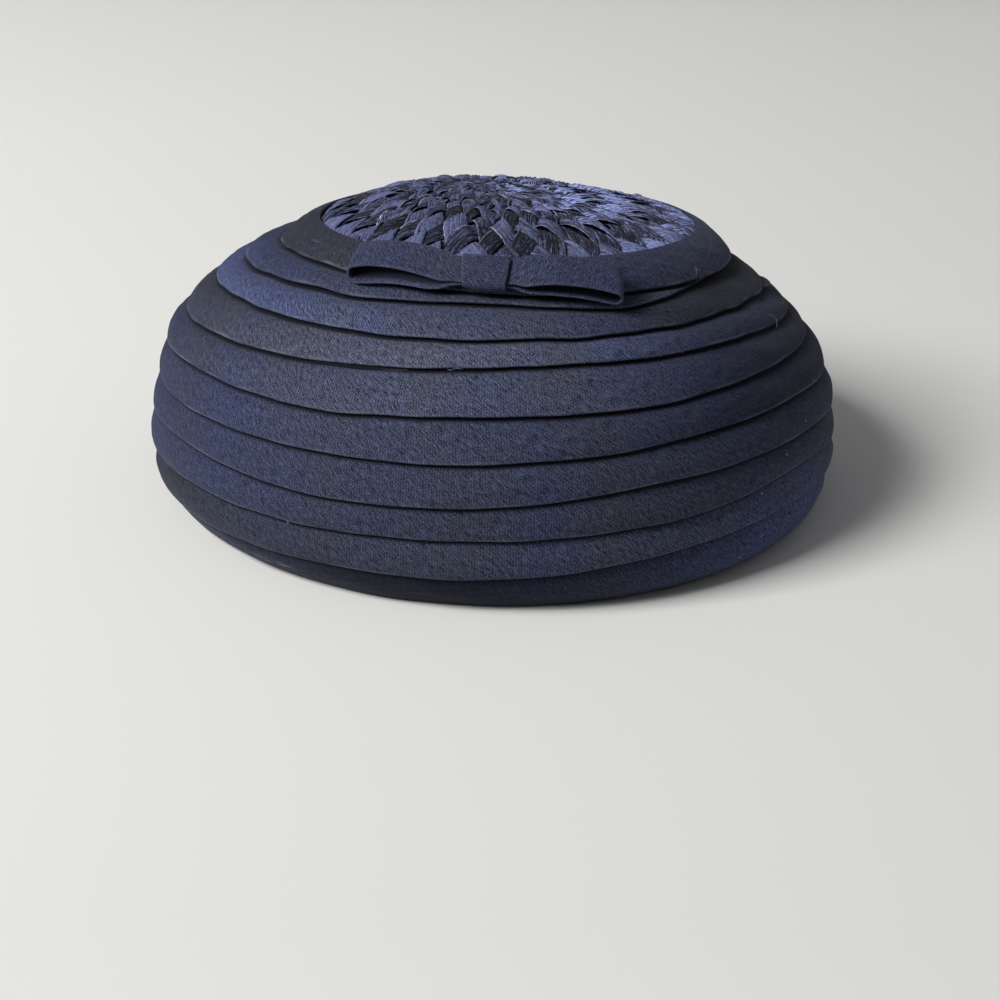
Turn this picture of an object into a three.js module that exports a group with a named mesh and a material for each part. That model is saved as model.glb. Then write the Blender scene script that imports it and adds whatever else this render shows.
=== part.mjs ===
// A round pillbox hat with full, rounded sides: ten folded cloth bands that overlap like shingles, a woven
// crown set into the top band, and a flat tailored bow on the front. Millimetres, +Z up, front towards -Y.
// The origin is the middle of the hem, which lies flat in the plane z = 0.

import * as THREE from 'three';

// Cloth
const clothThickness = 1.6;
const gap = 0.35;
const step = clothThickness + gap;
const tuckLength = 4.5;
const bandFullness = 1.1;
const narrowBand = 6;

// Roundness: how many flats go round the hat
const around = 48;

// Crown
const crownThickness = 3;
const crownTuck = 3.6;
const crownRise = 10;
const crownEdgeDrop = 1.6;

// Bow, measured along the top band
const ribbonThickness = 0.9;
const ribbonWidth = 13.6;
const gatheredWidth = 10.4;
const bowRadius = 77;
const bowMiddle = -7;
const bowDrop = 3;
const bowLift = 3 * gap + ribbonThickness;
const leftReach = 45.5;
const leftArch = 2.1;
const leftDroop = 1.4;
const rightReach = 42.5;
const rightDroop = 5.6;
const loopDepth = 3.4;
const loopSlant = 0.33;
const loopSlip = 3.6;
const loopSteps = 6;
const turnSteps = 6;
const knotWidth = 15;
const knotGrip = 4;
const heldShare = 0.14;

const navy = 0x1f2338;
const inkNavy = 0x22253a;
const crownNavy = 0x2a2e4a;

// The body, from the hem up. Each row is a level ring before it is leant back:
// height, radius, how far its middle is moved to the right and to the back, and its lean in degrees.
const bodyRings = [
  { height: 0, radius: 120, right: 0, back: 0, lean: 0 },
  { height: 8, radius: 127.3, right: 0, back: 0, lean: 0 },
  { height: 17, radius: 129.8, right: -0.2, back: 0, lean: 0 },
  { height: 28, radius: 129.6, right: -0.3, back: 0, lean: 0 },
  { height: 40, radius: 128, right: 0, back: 0, lean: 0.2 },
  { height: 52, radius: 124.6, right: -0.5, back: 0, lean: 1 },
  { height: 62, radius: 119, right: -1.5, back: 0, lean: 2 },
  { height: 71, radius: 111, right: -1.7, back: 0.5, lean: 3 },
  { height: 80, radius: 100, right: -1, back: 1, lean: 4 },
  { height: 85, radius: 93.6, right: -0.5, back: 1.5, lean: 4.2 },
  { height: 91, radius: 84, right: 2.5, back: 2, lean: 4.3 },
  { height: 101, radius: 69.5, right: 4.5, back: 3, lean: 4.3 },
];

// The height of each band's lower fold, measured up the body, at twelve places round the hat: the front, then
// every 30 degrees to the right. Band 2 narrows to nothing under the top band on the right.
const bandFolds = [
  // front, 30, 60, right, 120, 150, back, 210, 240, left, 300, 330
  { name: 'top_band', heights: [91.7, 91.2, 90.6, 90.5, 90.8, 91.2, 91.5, 91.8, 91.8, 91.5, 92.8, 92.9] },
  { name: 'band_2', heights: [89.5, 87.5, 90.1, 90.3, 90.3, 89, 88, 87, 85.5, 84, 86.5, 88.3] },
  { name: 'band_3', heights: [80.7, 81, 81.4, 78.8, 78, 78.5, 79, 78.5, 77, 76, 79.2, 80] },
  { name: 'band_4', heights: [74.5, 75, 74, 70.5, 69.5, 70, 70, 69, 67, 66, 69.9, 72.2] },
  { name: 'band_5', heights: [63.4, 64, 65, 62.8, 61.5, 61, 60, 58, 55.5, 53.5, 59.8, 60.8] },
  { name: 'band_6', heights: [51.5, 54.5, 54.9, 50.3, 49.5, 50, 49.5, 47.5, 44.5, 42.8, 47.4, 49.9] },
  { name: 'band_7', heights: [39.6, 43.5, 43.3, 37, 37.5, 38.5, 38, 36, 32.5, 30.5, 36, 36.6] },
  { name: 'band_8', heights: [28.4, 30.7, 33, 22.8, 24.5, 26.5, 26, 23, 18.5, 16, 23, 25.7] },
  { name: 'band_9', heights: [14.2, 19.5, 21, 14, 14.5, 15.5, 14.5, 11.5, 7.5, 5, 9, 12.5] },
  { name: 'hem_band', heights: [0, 0, 0, 0, 0, 0, 0, 0, 0, 0, 0, 0] },
];

const ringHeights = bodyRings.map((ring) => ring.height);

function smoothSlope(x, y, i) {
  const a = Math.max(i - 1, 0);
  const b = Math.min(i + 1, x.length - 1);
  return (y[b] - y[a]) / (x[b] - x[a]);
}

// A smooth curve through rows of values: a cubic between each two rows, with the slope of their neighbours.
function smoothAlong(x, y, at) {
  let i = 0;
  while (i < x.length - 2 && at > x[i + 1]) {
    i += 1;
  }
  const span = x[i + 1] - x[i];
  const t = (at - x[i]) / span;
  const t2 = t * t;
  const t3 = t2 * t;
  const rise = smoothSlope(x, y, i) * span * (t3 - 2 * t2 + t) + smoothSlope(x, y, i + 1) * span * (t3 - t2);
  return rise + (2 * t3 - 3 * t2 + 1) * y[i] + (3 * t2 - 2 * t3) * y[i + 1];
}

function ringValue(key, height) {
  return smoothAlong(ringHeights, bodyRings.map((ring) => ring[key]), height);
}

// The body's section as a fine row of heights with the length of cloth from the hem up to each.
const sectionRows = [];
function measureSection() {
  const rows = 404;
  let length = 0;
  let last = null;
  for (let i = 0; i <= rows; i += 1) {
    const height = (i / rows) * bodyRings[bodyRings.length - 1].height;
    const radius = ringValue('radius', height);
    if (last) {
      length += Math.hypot(height - last.height, radius - last.radius);
    }
    last = { height, radius };
    sectionRows.push({ height, length });
  }
}
measureSection();
const topLength = sectionRows[sectionRows.length - 1].length;

function lookUp(rows, from, to, value) {
  let low = 0;
  let high = rows.length - 1;
  while (high - low > 1) {
    const middle = (low + high) >> 1;
    if (rows[middle][from] > value) {
      high = middle;
    } else {
      low = middle;
    }
  }
  const t = (value - rows[low][from]) / (rows[high][from] - rows[low][from]);
  return rows[low][to] + t * (rows[high][to] - rows[low][to]);
}

// A point of the body's smooth skin. angle is 0 at the front and turns to the right.
function skinPoint(length, angle) {
  const height = lookUp(sectionRows, 'length', 'height', length);
  const radius = ringValue('radius', height);
  const x = radius * Math.sin(angle);
  const y = -radius * Math.cos(angle);
  const lean = THREE.MathUtils.degToRad(ringValue('lean', height));
  return new THREE.Vector3(
    x + ringValue('right', height),
    y + ringValue('back', height),
    height - Math.tan(lean) * y,
  );
}

// The skin's outward direction, square to its slope and to the ring.
function skinOutward(length, angle) {
  const reach = 1.5;
  const up = skinPoint(Math.min(length + reach, topLength), angle);
  up.sub(skinPoint(Math.max(length - reach, 0), angle));
  const sideways = new THREE.Vector3(Math.cos(angle), Math.sin(angle), 0);
  return sideways.cross(up).normalize();
}

function offsetPoint(length, angle, outward) {
  return skinPoint(length, angle).addScaledVector(skinOutward(length, angle), outward);
}

// A band's fold height at any angle, as a smooth closed curve through its places.
function foldLength(row, angle) {
  const places = row.heights.length;
  const turn = (angle / (2 * Math.PI)) * places;
  const i = Math.floor(turn);
  const t = turn - i;
  const at = (n) => row.heights[(n + places) % places];
  const before = at(i - 1);
  const here = at(i);
  const next = at(i + 1);
  const after = at(i + 2);
  const height = here + 0.5 * t * (next - before + t * (2 * before - 5 * here + 4 * next - after
    + t * (3 * (here - next) + after - before)));
  return lookUp(sectionRows, 'height', 'length', height);
}

function straightBetween(points, length) {
  let i = 0;
  while (i < points.length - 2 && length < points[i + 1].length) {
    i += 1;
  }
  const a = points[i];
  const b = points[i + 1];
  const t = THREE.MathUtils.clamp((length - a.length) / (b.length - a.length || 1), 0, 1);
  return a.outward + t * (b.outward - a.outward);
}

// The outer faces of all ten bands at one angle, from the top band down. Each band lies flat under the one
// above it for the tuck, comes out from under its fold, swells a little, and ends in its own fold, which
// stands out one step from the next band.
function bandFaces(angle) {
  const faces = [];
  const folds = bandFolds.map((row) => foldLength(row, angle));
  folds.forEach((fold, n) => {
    if (n === 0) {
      const middle = (topLength + fold) / 2;
      faces.push([
        { length: topLength, outward: 0 },
        { length: THREE.MathUtils.lerp(topLength, fold, 0.25), outward: 0.6 * bandFullness },
        { length: middle, outward: bandFullness },
        { length: fold, outward: 0 },
      ]);
      return;
    }
    const above = faces[n - 1];
    const start = Math.max(folds[n - 1], fold + 0.6);
    const width = start - fold;
    const under = (length) => straightBetween(above, length) - step;
    const startUnder = under(start);
    const stand = -step * (1 - THREE.MathUtils.smoothstep(width, 0, narrowBand));
    const swell = bandFullness * THREE.MathUtils.smoothstep(width, 0, 2 * narrowBand);
    const tuck = Math.min(start + tuckLength, above[0].length);
    const covering = above.filter((row) => row.length > start && row.length < tuck);
    const places = [tuck, ...covering.map((row) => row.length)];
    const slopes = places.map((length) => (under(length) - startUnder) / (length - start));
    faces.push([
      { length: tuck, outward: startUnder + (tuck - start) * Math.min(...slopes) },
      { length: start, outward: startUnder },
      { length: start - width / 2, outward: (startUnder + stand) / 2 + swell },
      { length: fold, outward: stand },
    ]);
  });
  return faces;
}

// A ring-shaped closed skin through the same closed section at every angle.
function ringGeometry(sectionAt) {
  const positions = [];
  const faces = [];
  let corners = 0;
  for (let i = 0; i < around; i += 1) {
    const section = sectionAt((i / around) * 2 * Math.PI);
    corners = section.length;
    section.forEach((point) => positions.push(point.x, point.y, point.z));
  }
  for (let i = 0; i < around; i += 1) {
    const next = (i + 1) % around;
    for (let j = 0; j < corners; j += 1) {
      const k = (j + 1) % corners;
      const a = i * corners + j;
      const b = next * corners + j;
      const c = next * corners + k;
      const d = i * corners + k;
      faces.push(a, d, b, b, d, c);
    }
  }
  return closedGeometry(positions, faces);
}

function closedGeometry(positions, faces) {
  const geometry = new THREE.BufferGeometry();
  geometry.setAttribute('position', new THREE.Float32BufferAttribute(positions, 3));
  geometry.setIndex(faces);
  geometry.computeVertexNormals();
  return geometry;
}

function cloth(name, geometry, color, roughness) {
  const material = new THREE.MeshStandardMaterial({ color, roughness, metalness: 0 });
  material.name = name;
  const mesh = new THREE.Mesh(geometry, material);
  mesh.name = name;
  return mesh;
}

// One band: its outer face from the top down, then its inner face back up.
// The hem band ends in a flat rim at z = 0, which the hat stands on.
function bandGeometry(n) {
  const isHem = n === bandFolds.length - 1;
  return ringGeometry((angle) => {
    const face = bandFaces(angle)[n];
    const outer = face.map((row) => offsetPoint(row.length, angle, row.outward));
    const inner = face.map((row) => offsetPoint(row.length, angle, row.outward - clothThickness));
    if (isHem) {
      const rim = inner[inner.length - 1];
      const edge = outer[outer.length - 1];
      rim.set(edge.x - clothThickness * Math.sin(angle), edge.y + clothThickness * Math.cos(angle), 0);
      edge.z = 0;
    }
    return outer.concat(inner.reverse());
  });
}

// The woven crown: a shallow dome whose rim lies under the top band's inner edge.
function crownGeometry() {
  const shares = [1, 0.93, 0.8, 0.58, 0.3];
  const positions = [];
  const faces = [];
  const columns = 2 * (shares.length + 1);
  const middle = skinPoint(topLength, 0).add(skinPoint(topLength, Math.PI)).multiplyScalar(0.5);
  for (let i = 0; i < around; i += 1) {
    const angle = (i / around) * 2 * Math.PI;
    const rim = offsetPoint(topLength - crownTuck, angle, -step);
    const edge = skinPoint(topLength, angle);
    const outer = [rim];
    shares.forEach((share) => {
      const point = middle.clone().lerp(edge, share * 0.985);
      point.z += (crownRise + crownEdgeDrop) * (1 - share ** 2.2) - crownEdgeDrop - gap;
      outer.push(point);
    });
    outer.forEach((point) => positions.push(point.x, point.y, point.z));
    outer.reverse().forEach((point) => positions.push(point.x, point.y, point.z - crownThickness));
  }
  const top = positions.length / 3;
  positions.push(middle.x, middle.y, middle.z + crownRise - gap);
  positions.push(middle.x, middle.y, middle.z + crownRise - gap - crownThickness);
  for (let i = 0; i < around; i += 1) {
    const next = (i + 1) % around;
    for (let j = 0; j < columns; j += 1) {
      const k = (j + 1) % columns;
      const a = i * columns + j;
      const b = next * columns + j;
      if (j === columns / 2 - 1) {
        faces.push(a, b, top);
        faces.push(i * columns + k, top + 1, next * columns + k);
      } else {
        faces.push(a, b, i * columns + k, b, next * columns + k, i * columns + k);
      }
    }
  }
  return closedGeometry(positions, faces);
}

// A place on the top band for the bow: along is measured round the band, across up its slope from its
// middle, and lift out from its surface.
function bowPoint(along, across, lift) {
  const angle = along / bowRadius;
  const fold = foldLength(bandFolds[0], (angle + 2 * Math.PI) % (2 * Math.PI));
  const middle = (fold + topLength) / 2;
  const outward = skinOutward(middle, angle);
  const sideways = new THREE.Vector3(Math.cos(angle), Math.sin(angle), 0);
  const upSlope = outward.clone().cross(sideways);
  return skinPoint(middle, angle)
    .addScaledVector(upSlope, across)
    .addScaledVector(outward, bandFullness + bowLift + lift);
}

// A flat strip: a closed skin through rows of four corners, with end caps unless the strip is endless.
function stripGeometry(rows, endless) {
  const positions = [];
  const faces = [];
  rows.forEach((corners) => corners.forEach((point) => positions.push(point.x, point.y, point.z)));
  const spans = endless ? rows.length : rows.length - 1;
  for (let i = 0; i < spans; i += 1) {
    const next = (i + 1) % rows.length;
    for (let j = 0; j < 4; j += 1) {
      const k = (j + 1) % 4;
      faces.push(i * 4 + j, next * 4 + j, i * 4 + k, next * 4 + j, next * 4 + k, i * 4 + k);
    }
  }
  if (!endless) {
    const last = (rows.length - 1) * 4;
    faces.push(0, 1, 2, 0, 2, 3);
    faces.push(last, last + 2, last + 1, last, last + 3, last + 2);
  }
  return closedGeometry(positions, faces);
}

// A loop of the bow, from the knot along the band, round at its end and back in front. It is gathered narrow
// inside the knot. The back layer slips down the slope, so that its edge shows below the front one, and the
// whole loop may arch up on its way or droop to its end. Its end is cut aslant, longer at the upper edge.
function loopGeometry(side, reach, arch, droop) {
  const start = bowMiddle + side * (knotWidth / 2 - knotGrip);
  const turnRadius = loopDepth / 2;
  const turnMiddle = bowMiddle + side * (reach - turnRadius - ribbonThickness);
  const rows = [];
  const addRow = (t, along, lift, outAlong, outLift) => {
    const away = (along - start) / (turnMiddle - start);
    const slipping = THREE.MathUtils.smoothstep(t, 0.05, 0.25);
    const slip = loopSlip * slipping * (1 - THREE.MathUtils.smoothstep(t, 0.4, 0.62));
    const fall = droop * Math.max(away, 0) ** 3;
    const free = THREE.MathUtils.clamp((away - heldShare) / (1 - heldShare), 0, 1);
    const middle = arch * Math.sin(Math.PI * free) - bowDrop - slip - fall;
    const spread = THREE.MathUtils.smoothstep(free, 0, 0.14);
    const half = THREE.MathUtils.lerp(gatheredWidth, ribbonWidth, spread) / 2;
    const slant = side * loopSlant * free * free;
    const corner = (across, thick) => bowPoint(
      along + side * thick * outAlong + slant * across,
      middle + across,
      lift + thick * outLift,
    );
    const inner = [corner(-half, 0), corner(half, 0)];
    const corners = inner.concat([corner(half, ribbonThickness), corner(-half, ribbonThickness)]);
    rows.push(side > 0 ? corners : corners.reverse());
  };
  for (let i = 0; i < loopSteps; i += 1) {
    const away = i / loopSteps;
    addRow(0.45 * away, THREE.MathUtils.lerp(start, turnMiddle, away), ribbonThickness, 0, -1);
  }
  for (let i = 0; i <= turnSteps; i += 1) {
    const turn = (i / turnSteps) * Math.PI;
    const lift = ribbonThickness + turnRadius * (1 - Math.cos(turn));
    const along = turnMiddle + side * turnRadius * Math.sin(turn);
    addRow(0.45 + 0.1 * (i / turnSteps), along, lift, Math.sin(turn), -Math.cos(turn));
  }
  for (let i = loopSteps - 1; i >= 0; i -= 1) {
    const away = i / loopSteps;
    const open = THREE.MathUtils.lerp(gap, loopDepth, THREE.MathUtils.smoothstep(away, 0.08, 1));
    addRow(1 - 0.45 * away, THREE.MathUtils.lerp(start, turnMiddle, away), ribbonThickness + open, 0, 1);
  }
  return stripGeometry(rows, false);
}

// The knot: a short ribbon wrapped once round the middle of the bow, with the loops held inside it.
function knotGeometry() {
  const innerDepth = 2 * ribbonThickness + 4.5 * gap;
  const innerHalf = gatheredWidth / 2 + 3 * gap;
  const round = innerDepth / 2;
  const reach = knotWidth / 2;
  const rows = [];
  [1, -1].forEach((end) => {
    for (let i = 0; i <= turnSteps; i += 1) {
      const turn = (i / turnSteps) * Math.PI;
      const corner = (along, thick) => bowPoint(
        bowMiddle + along,
        end * (innerHalf - round + (round + thick) * Math.sin(turn)) - bowDrop,
        round - gap + end * (round + thick) * Math.cos(turn),
      );
      const inner = [corner(-reach, 0), corner(reach, 0)];
      rows.push(inner.concat([corner(reach, ribbonThickness), corner(-reach, ribbonThickness)]));
    }
  });
  return stripGeometry(rows, true);
}

const hat = new THREE.Group();
hat.name = 'pillbox_hat';
bandFolds.forEach((row, n) => {
  hat.add(cloth(row.name, bandGeometry(n), n % 2 ? navy : inkNavy, 0.82));
});
hat.add(cloth('woven_crown', crownGeometry(), crownNavy, 0.6));
hat.add(cloth('bow_left_loop', loopGeometry(-1, leftReach, leftArch, leftDroop), navy, 0.78));
hat.add(cloth('bow_right_loop', loopGeometry(1, rightReach, 0, rightDroop), navy, 0.78));
hat.add(cloth('bow_knot', knotGeometry(), inkNavy, 0.78));

export default hat;
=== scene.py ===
# A round navy pillbox hat: ten folded cloth bands that overlap like shingles, a woven crown set into the
# top one, and a flat tailored bow. Shapes are worked out in millimetres and stored in metres, front to -Y.
import bpy
import numpy as np
from mathutils import Matrix


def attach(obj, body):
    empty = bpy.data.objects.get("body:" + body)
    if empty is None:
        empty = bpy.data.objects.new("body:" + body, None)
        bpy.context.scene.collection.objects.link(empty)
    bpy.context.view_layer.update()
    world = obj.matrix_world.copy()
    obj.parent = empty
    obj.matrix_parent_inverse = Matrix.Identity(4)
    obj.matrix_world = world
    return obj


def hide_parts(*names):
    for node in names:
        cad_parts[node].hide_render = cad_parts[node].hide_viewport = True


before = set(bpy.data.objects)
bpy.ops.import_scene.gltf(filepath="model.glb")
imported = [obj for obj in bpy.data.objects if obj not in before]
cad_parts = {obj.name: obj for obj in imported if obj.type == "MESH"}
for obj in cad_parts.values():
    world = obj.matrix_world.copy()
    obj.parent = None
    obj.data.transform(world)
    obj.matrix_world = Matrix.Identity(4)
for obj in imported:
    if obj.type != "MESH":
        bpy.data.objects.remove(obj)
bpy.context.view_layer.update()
scene = bpy.context.scene
mm = 0.001
fullTurn = 2 * np.pi
print("frame loaded,", len(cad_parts), "solids")


# the camera comes first, so that every view starts from it
view = {
    "place": (0.0, -723.8, 305.0),  # mm
    "down": 23.741,  # degrees below level
    "right": 0.249,  # degrees towards +X
    "roll": 1.424,  # degrees, clockwise as the camera sees it
    "lens": 72.0,
    "sensor": 36.0,
}


# a placement out of three directions, the object's own right, up and back, and its place in metres
def placed(right, up, back, place):
    turn = np.eye(4)
    turn[:3, :3] = np.stack([right, up, back], 1)
    turn[:3, 3] = place
    return Matrix(turn.tolist())


# the camera looks along its pitch and yaw; its right and up are then turned about that line by the roll
def addCamera():
    down, right, roll = np.radians([view["down"], view["right"], view["roll"]])
    ahead = np.array([np.sin(right) * np.cos(down), np.cos(right) * np.cos(down), -np.sin(down)])
    level = np.array([np.cos(right), -np.sin(right), 0.0])
    above = np.cross(level, ahead)
    sideways = np.cos(roll) * level + np.sin(roll) * above
    upwards = np.cos(roll) * above - np.sin(roll) * level
    data = bpy.data.cameras.new("camera")
    data.lens = view["lens"]
    data.sensor_width = view["sensor"]
    data.clip_start = 0.01
    data.clip_end = 60
    camera = bpy.data.objects.new("camera", data)
    camera.matrix_world = placed(sideways, upwards, -ahead, np.array(view["place"]) * mm)
    scene.collection.objects.link(camera)
    scene.camera = camera


addCamera()


# a soft step: 0 below low, 1 above high, and a cubic between them
def softStep(value, low, high):
    t = np.clip((value - low) / (high - low), 0, 1)
    return t * t * (3 - 2 * t)


# a smooth curve through a table: a cubic between two rows, whose slope at each row is that of its neighbours
def smoothThrough(x, y, at):
    before = np.maximum(np.arange(len(x)) - 1, 0)
    after = np.minimum(np.arange(len(x)) + 1, len(x) - 1)
    slope = (y[after] - y[before]) / (x[after] - x[before])
    i = np.clip(np.searchsorted(x, at) - 1, 0, len(x) - 2)
    span = x[i + 1] - x[i]
    t = (at - x[i]) / span
    rise = slope[i] * (t**3 - 2 * t**2 + t) + slope[i + 1] * (t**3 - t**2)
    return rise * span + (2 * t**3 - 3 * t**2 + 1) * y[i] + (3 * t**2 - 2 * t**3) * y[i + 1]


# a smooth closed curve through values at equal places round the hat: a cubic through each four neighbours
def smoothRound(values, angle):
    places = len(values)
    turn = np.asarray(angle) / fullTurn * places
    i = np.floor(turn).astype(int)
    t = turn - i
    a, b, c, d = (np.asarray(values, float)[(i + k) % places] for k in (-1, 0, 1, 2))
    return b + 0.5 * t * (c - a + t * (2 * a - 5 * b + 4 * c - d + t * (3 * (b - c) + d - a)))


# a soft closed wobble round the hat: sine waves from slowest to fastest, each weaker than the last
def wobble(angle, seed, slowest, fastest, fall=0.7):
    dice = np.random.default_rng(seed)
    waves = np.arange(slowest, fastest + 1)
    strength = dice.normal(size=len(waves)) * (slowest / waves) ** fall
    phase = dice.uniform(0, fullTurn, len(waves))
    angle = np.asarray(angle, float)
    total = np.tensordot(strength, np.sin(np.multiply.outer(waves, angle) + phase.reshape(
        (-1,) + (1,) * angle.ndim)), 1)
    return total / np.sqrt((strength**2).sum() / 2)


# the body's level rings, from the hem up: height, radius, shift to the right and shift to the back in mm,
# and lean to the back in degrees
bodyRings = np.array([
    [0, 120, 0, 0, 0], [8, 127.3, 0, 0, 0], [17, 129.8, -0.2, 0, 0], [28, 129.6, -0.3, 0, 0],
    [40, 128, 0, 0, 0.2], [52, 124.6, -0.5, 0, 1], [62, 119, -1.5, 0, 2], [71, 111, -1.7, 0.5, 3],
    [80, 100, -1, 1, 4], [85, 93.6, -0.5, 1.5, 4.2], [91, 84, 2.5, 2, 4.3], [101, 70.3, 3.7, 3, 4.3],
])
sectionHeight = np.linspace(0, bodyRings[-1, 0], 405)
sectionRows = [smoothThrough(bodyRings[:, 0], bodyRings[:, k], sectionHeight) for k in range(1, 5)]
sectionSteps = np.hypot(np.diff(sectionHeight), np.diff(sectionRows[0]))
sectionLength = np.concatenate([[0], np.cumsum(sectionSteps)])
topLength = sectionLength[-1]


# where the left shoulder is a little fuller than the rest
shoulder = {
    "rise": 3.0,
    "height": 81.0,
    "high": 7.0,  # mm, how far the swell reaches up and down
    "turn": -102.0,  # degrees from the front
    "wide": 34.0,  # degrees, how far it reaches each way
}


# a point of the smooth body: length is cloth measured up from the hem, angle is 0 at the front and turns to
# the right. The ring's own radius, shift and lean are looked up by that length, and the shoulder swells the
# radius by a bell curve both ways.
def bodySkin(length, angle):
    length, angle = np.broadcast_arrays(np.asarray(length, float), np.asarray(angle, float))
    height = np.interp(length, sectionLength, sectionHeight)
    radius, right, back, lean = (np.interp(length, sectionLength, row) for row in sectionRows)
    turned = (angle - np.radians(shoulder["turn"]) + np.pi) % fullTurn - np.pi
    upward = (height - shoulder["height"]) / shoulder["high"]
    bell = upward**2 + (turned / np.radians(shoulder["wide"])) ** 2
    radius = radius + shoulder["rise"] * np.exp(-bell)
    x, y = radius * np.sin(angle), -radius * np.cos(angle)
    return np.stack([x + right, y + back, height - np.tan(np.radians(lean)) * y], -1)


# the body's outward direction: square to the ring and to the slope, which is measured a little each way
def bodyOutward(length, angle):
    length, angle = np.broadcast_arrays(np.asarray(length, float), np.asarray(angle, float))
    near = 1.5  # mm
    slope = bodySkin(np.minimum(length + near, topLength), angle)
    slope = slope - bodySkin(np.maximum(length - near, 0), angle)
    ring = np.stack([np.cos(angle), np.sin(angle), 0 * angle], -1)
    outward = np.cross(ring, slope)
    return outward / np.linalg.norm(outward, axis=-1, keepdims=True)


# a point that stands off the body along its outward direction
def offBody(length, angle, out):
    return bodySkin(length, angle) + bodyOutward(length, angle) * np.asarray(out)[..., None]


# one mesh out of grids of points, each rows by columns. Columns go round a profile and come back to its
# start; rows go round the hat where closed, or else end in caps that zip the profile's two sides together.
# The last column, and the last row of a closed grid, repeat the first, so that the cloth map runs to its end.
def loftPiece(name, points, clothMap, numbers, material, closed):
    grids, allRows, allColumns = points.shape[:3]
    rows, columns = allRows - closed, allColumns - 1
    g, r, c = np.meshgrid(np.arange(grids), np.arange(allRows - 1), np.arange(columns), indexing="ij")
    corners = [(r, c), (r + 1, c), (r + 1, c + 1), (r, c + 1)]
    faces = np.stack([(g * rows + a % rows) * columns + b % columns for a, b in corners], -1).reshape(-1, 4)
    inMap = np.stack([(g * allRows + a) * allColumns + b for a, b in corners], -1).reshape(-1, 4)
    if not closed:
        j = np.arange(columns // 2 - 1)
        cap = np.stack([j, j + 1, columns - 2 - j, columns - 1 - j], -1)
        first = np.arange(grids)[:, None, None] * rows * columns + cap
        last = first[..., ::-1] + (rows - 1) * columns
        firstMap = np.arange(grids)[:, None, None] * allRows * allColumns + cap
        lastMap = firstMap[..., ::-1] + (allRows - 1) * allColumns
        faces = np.concatenate([faces, first.reshape(-1, 4), last.reshape(-1, 4)])
        inMap = np.concatenate([inMap, firstMap.reshape(-1, 4), lastMap.reshape(-1, 4)])
    place = points[:, :rows, :columns].reshape(-1, 3) * mm
    a, b, c, d = (place[faces[:, k]] for k in range(4))
    volume = (np.cross(a, b) * c).sum() + (np.cross(a, c) * d).sum()
    if volume < 0:  # the grid was wound inwards
        faces, inMap = faces[:, ::-1], inMap[:, ::-1]
    mesh = bpy.data.meshes.new(name)
    mesh.vertices.add(len(place))
    mesh.vertices.foreach_set("co", place.astype(np.float32).ravel())
    mesh.loops.add(faces.size)
    mesh.loops.foreach_set("vertex_index", faces.astype(np.int32).ravel())
    mesh.polygons.add(len(faces))
    mesh.polygons.foreach_set("loop_start", np.arange(0, faces.size, 4, dtype=np.int32))
    mesh.polygons.foreach_set("use_smooth", np.ones(len(faces), bool))
    mesh.update(calc_edges=True)
    layer = mesh.uv_layers.new(name="cloth")
    layer.uv.foreach_set("vector", (clothMap.reshape(-1, 2)[inMap.ravel()] * mm).astype(np.float32).ravel())
    for key, values in numbers.items():
        own = mesh.attributes.new(key, "FLOAT", "POINT")
        values = np.broadcast_to(values, points.shape[:3])[:, :rows, :columns]
        own.data.foreach_set("value", values.astype(np.float32).ravel())
    mesh.materials.append(material)
    piece = bpy.data.objects.new(name, mesh)
    scene.collection.objects.link(piece)
    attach(piece, "root")
    return piece


# adds a node; a value that is a socket is linked, any other is set, and inputs are named or numbered
def addNode(tree, kind, inputs=None, **settings):
    node = tree.nodes.new(kind)
    for key, value in settings.items():
        setattr(node, key, value)
    for key, value in (inputs or {}).items():
        if isinstance(value, bpy.types.NodeSocket):
            tree.links.new(value, node.inputs[key])
        else:
            node.inputs[key].default_value = value
    return node


# noise stretched along the map: long one way and short the other, in millimetres
def stretchedNoise(tree, vector, sizeX, sizeY, detail=2.0, roughness=0.55):
    scale = (1 / (sizeX * mm), 1 / (sizeY * mm), 1)
    spread = addNode(tree, "ShaderNodeMapping", {"Vector": vector, "Scale": scale})
    return addNode(tree, "ShaderNodeTexNoise", {
        "Vector": spread.outputs[0], "Scale": 1.0, "Detail": detail, "Roughness": roughness}).outputs["Fac"]


# one sum of numbers or sockets, such as a times b plus c
def sums(tree, operation, a, b, c=None, **settings):
    inputs = {0: a, 1: b}
    if c is not None:
        inputs[2] = c
    return addNode(tree, "ShaderNodeMath", inputs, operation=operation, **settings).outputs[0]


# a straight line from one range of numbers to another, held at its ends
def remap(tree, value, lowIn, highIn, lowOut=0.0, highOut=1.0):
    ranges = {"From Min": lowIn, "From Max": highIn, "To Min": lowOut, "To Max": highOut}
    return addNode(tree, "ShaderNodeMapRange", {"Value": value, **ranges}).outputs[0]


def blendColours(tree, share, a, b):
    return addNode(tree, "ShaderNodeMix", {0: share, 6: a, 7: b}, data_type="RGBA").outputs[2]


def scaleColour(tree, colour, by):
    return addNode(tree, "ShaderNodeVectorMath", {0: colour, "Scale": by}, operation="SCALE").outputs[0]


# a number that the piece's mesh carries
def meshNumber(tree, name):
    return addNode(tree, "ShaderNodeAttribute", attribute_name=name).outputs["Fac"]


# even stripes across the map, one each pitch in mm
def stripes(tree, vector, pitch, way, more=None):
    inputs = {"Vector": vector, "Scale": fullTurn / (20 * pitch * mm), **(more or {})}
    return addNode(tree, "ShaderNodeTexWave", inputs, bands_direction=way).outputs["Fac"]


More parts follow.
